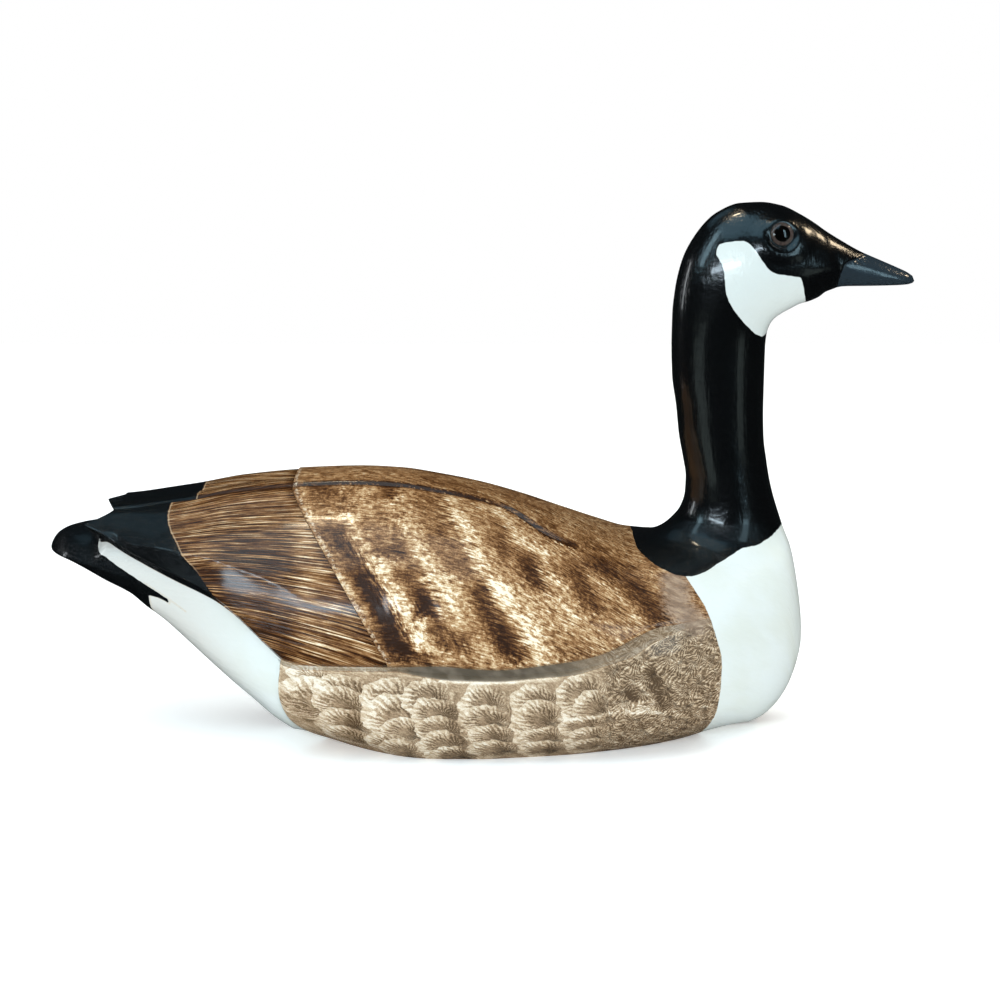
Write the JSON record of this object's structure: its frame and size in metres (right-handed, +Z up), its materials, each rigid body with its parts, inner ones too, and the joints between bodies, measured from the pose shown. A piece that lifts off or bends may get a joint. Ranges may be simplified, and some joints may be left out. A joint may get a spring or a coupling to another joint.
{
  "type": "goose decoy",
  "caption": "Carved wooden goose decoy with an upright neck, folded wings over a wedge tail, glass eyes and a flat underside to stand on.",
  "frame": {"origin": "on the flat underside, below the middle of the whole bird's box", "axes": "+X towards the bill, +Y towards the bird's left side, +Z up"},
  "size_m": [0.5304, 0.208, 0.3232],
  "materials": {
    "painted_body": "carved wood with combed brown and cream feather paint, white breast and rump, black tail, under gloss varnish",
    "painted_head": "carved wood painted gloss black with a white cheek patch",
    "eye_glass": "clear glass over a brown iris and a black pupil"
  },
  "bodies": {
    "root": {"body": "painted_body", "head_and_neck": "painted_head", "eye_right": "eye_glass", "eye_left": "eye_glass"}
  },
  "joints": []
}
